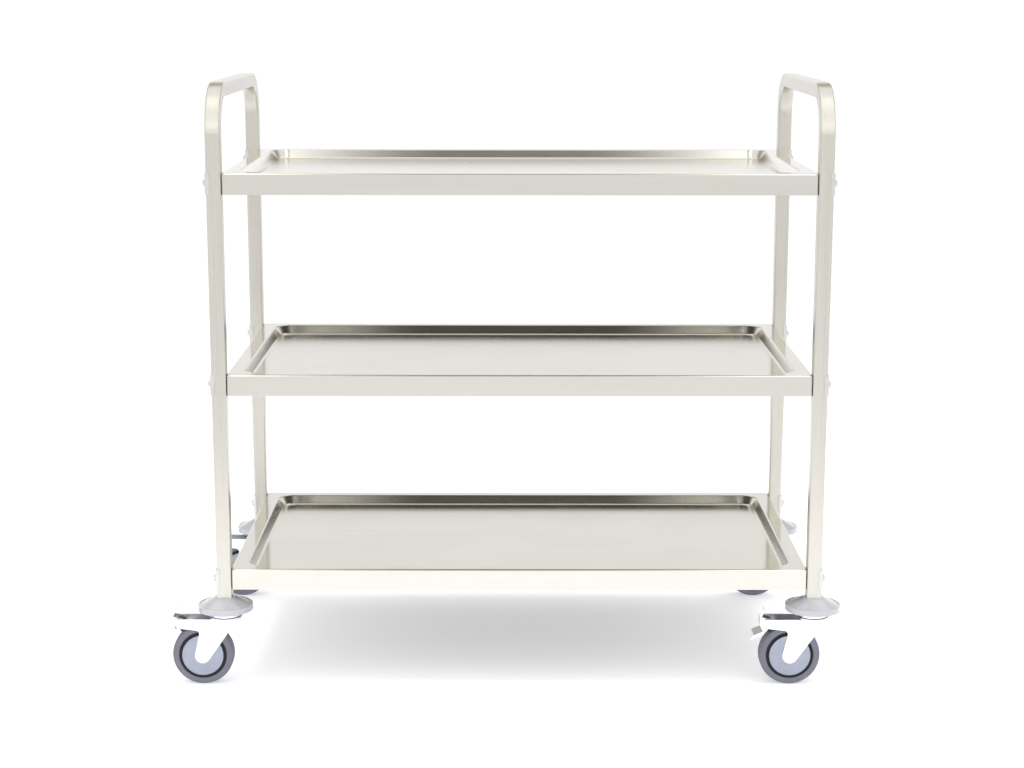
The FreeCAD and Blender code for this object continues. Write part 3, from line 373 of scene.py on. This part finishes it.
def painted_shade_and_dull_underside(sh):
    """How much painted shade and roughness a spot gets: 1 where it faces down, less towards the ends."""
    facing = sh.apart(sh.node("ShaderNodeTexCoord").outputs["Normal"])[2]
    lengthwise = sh.math("ABSOLUTE", sh.apart(sh.own_place())[0])
    middle = sh.span(lengthwise, *SHADE_AND_DULL_FADE, SHADE_AND_DULL_LEAST, 1.0, smooth=True)
    return sh.product(sh.span(facing, *FACES_DOWN, smooth=True), middle)


tray_steel = ground_steel("ground_sheet_steel", sheet_grain, SHEET_SCATTERS, roughness=0.15,
                          anisotropy=0.85, streak=0.025, scratch=0.02, tone=STEEL, painted_shade_and_dull=painted_shade_and_dull_underside)
print(tray_steel.name, "with", len(tray_steel.node_tree.nodes), "nodes")

# %% [markdown]
# ## Grain that follows a bent tube
# The tube is ground before it is bent, so its grain turns with the bend. The texture therefore
# can't use plain X, Y and Z. It uses the distance from the line that the bend turns about: zero
# inside the bend's centre, and growing evenly outward on the uprights, round the bends and along
# the handle bar alike. One length then runs along the tube and two run across it.

# %% Tube steel
TUBE_STEEL = (0.590, 0.572, 0.515)
TUBE_SCATTERS = (1.0, 0.0, 0.0)
BEND_OUTER = 0.075
GRAIN_ALONG = 4.0
GRAIN_ACROSS = 900.0
frame_low, frame_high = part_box("left_end_frame")
bend_centre_y = frame_high.y - BEND_OUTER
bend_centre_z = frame_high.z - BEND_OUTER


def tube_grain(sh):
    x, y, z = sh.apart(sh.own_place())
    beyond_y = sh.math("MAXIMUM", sh.math("SUBTRACT", sh.math("ABSOLUTE", y), bend_centre_y), 0.0)
    beyond_z = sh.math("MAXIMUM", sh.math("SUBTRACT", z, bend_centre_z), 0.0)
    squared = sh.math("ADD", sh.product(beyond_y, beyond_y), sh.product(beyond_z, beyond_z))
    lengths = (sh.product(sh.math("ADD", y, z), GRAIN_ALONG),
               sh.product(sh.math("SQRT", squared), GRAIN_ACROSS),
               sh.product(x, GRAIN_ACROSS))
    return sh.node("ShaderNodeCombineXYZ", dict(enumerate(lengths))).outputs[0]


tube_steel = ground_steel("ground_tube_steel", tube_grain, TUBE_SCATTERS, roughness=0.30,
                          anisotropy=0.5, streak=0.05, scratch=0.05, tone=TUBE_STEEL)
print("bend centre", round(bend_centre_y, 4), round(bend_centre_z, 4))

# %% [markdown]
# ## Plain metals
# Saddle plates and bolts are plain stainless, without a grain direction. The casters are pressed
# steel with bright zinc: paler, bluer and cloudier than stainless, because zinc grows in tiny
# crystals. One flat colour would look like paint, so each metal gets soft clouds of tone, a
# fine crystal bump, and a roughness that wanders with the clouds.

# %% Metal finishes
CLOUD_SCALE, CLOUD_DETAIL, CLOUD_ROUGHNESS = 60.0, 5.0, 0.6
CRYSTAL_SCALE, CRYSTAL_BUMP, CRYSTAL_DEPTH = 900.0, 0.04, 0.0002
TONE_RANGE = (0.35, 0.65)


def plain_metal(name, color, roughness, spread, mottle):
    """A metal without grain."""
    material, sh = new_material(name)
    place = sh.own_place()
    cloud = sh.noise(place, CLOUD_SCALE, CLOUD_DETAIL, Roughness=CLOUD_ROUGHNESS)
    crystal = sh.node("ShaderNodeTexVoronoi", {"Vector": place, "Scale": CRYSTAL_SCALE})
    tone = sh.ramp(cloud, tuple(zip(TONE_RANGE, two_tones(color, mottle))))
    rough = sh.span(cloud, *MIDDLE_RANGE, roughness - spread, roughness + spread)
    close_material(sh, tone, rough, sh.bump(crystal.outputs["Distance"], CRYSTAL_BUMP, CRYSTAL_DEPTH),
                   {"Metallic": 1.0})
    return material


plate_steel = plain_metal("plain_stainless", (0.62, 0.61, 0.575), 0.30, 0.05, 0.05)
zinc = plain_metal("bright_zinc", (0.86, 0.875, 0.90), 0.32, 0.06, 0.05)
guard_zinc = plain_metal("guard_zinc", (0.335, 0.355, 0.425), 0.36, 0.06, 0.06)
ball_steel = plain_metal("bearing_steel", (0.60, 0.60, 0.61), 0.12, 0.03, 0.03)
print("metals:", ", ".join(m.name for m in (plate_steel, zinc, guard_zinc, ball_steel)))

# %% [markdown]
# ## Plastic and rubber
# The bumpers are a moulded grey plastic with a fine spark-eroded grain and a slight gloss over
# it, the wheel centres and brake shoes a black one, and the tyres a grey rubber that doesn't mark
# floors. All three are the same recipe: an even colour with a faint cloud, and a grain from the
# mould whose scale and depth tell plastic from rubber.

# %% Plastics and rubber
MOULD_CLOUD_SCALE, MOULD_CLOUD_DETAIL = 25.0, 4.0
MOULD_GRAIN_DETAIL, MOULD_GRAIN_BUMP = 3.0, 0.15
MOULD_SPREAD = 0.05


def moulded(name, color, roughness, grain_scale, grain_depth, mottle, more):
    """Moulded plastic or rubber."""
    material, sh = new_material(name)
    place = sh.own_place()
    cloud = sh.noise(place, MOULD_CLOUD_SCALE, MOULD_CLOUD_DETAIL)
    grain = sh.noise(place, grain_scale, MOULD_GRAIN_DETAIL)
    tone = sh.ramp(cloud, tuple(zip(TONE_RANGE, two_tones(color, mottle))))
    rough = sh.span(grain, *MIDDLE_RANGE, roughness - MOULD_SPREAD, roughness + MOULD_SPREAD)
    close_material(sh, tone, rough, sh.bump(grain, MOULD_GRAIN_BUMP, grain_depth), more)
    return material


disc_plastic = moulded("grey_bumper_plastic", (0.455, 0.455, 0.495), 0.24, 1800.0, 0.0001, 0.03,
                       {"Coat Weight": 0.8, "Coat Roughness": 0.10})
core_plastic = moulded("black_wheel_plastic", (0.008, 0.008, 0.009), 0.40, 1500.0, 0.0002, 0.03,
                       {"Specular IOR Level": 0.3})
tyre_rubber = moulded("grey_tyre_rubber", (0.158, 0.160, 0.202), 0.62, 1200.0, 0.0003, 0.06, {})
print("moulded:", ", ".join(m.name for m in (disc_plastic, core_plastic, tyre_rubber)))

# %% [markdown]
# ## Give every piece its finish
# The same pieces repeat under each upright, with the caster's place in front of their names. A
# table by the end of the name gives all of them their finish at once, and a count shows whether
# a piece was forgotten.

# %% Finishes
FINISHES = {
    "_tray": tray_steel,
    "end_frame": tube_steel,
    "saddle_plates": plate_steel,
    "tray_bolts": plate_steel,
    "tray_washers": plate_steel,
    "tray_nuts": plate_steel,
    "stem_inserts": zinc,
    "kingpin_nuts": zinc,
    "bumper_disc": disc_plastic,
    "caster_stem": zinc,
    "swivel_balls": ball_steel,
    "fork": zinc,
    "wheel_axle": zinc,
    "thread_guards": guard_zinc,
    "wheel_core": core_plastic,
    "tyre": tyre_rubber,
    "wheel_bearings": ball_steel,
    "brake_pedal": zinc,
    "brake_shoe": core_plastic,
    "pedal_pin": zinc,
}
finished = 0
for name, node in nodes.items():
    matches = [material for ending, material in FINISHES.items() if name.endswith(ending)]
    if matches:
        node.data.materials.clear()
        node.data.materials.append(matches[0])
        finished += 1
print(finished, "of", len(nodes), "nodes have a finish")

# %% [markdown]
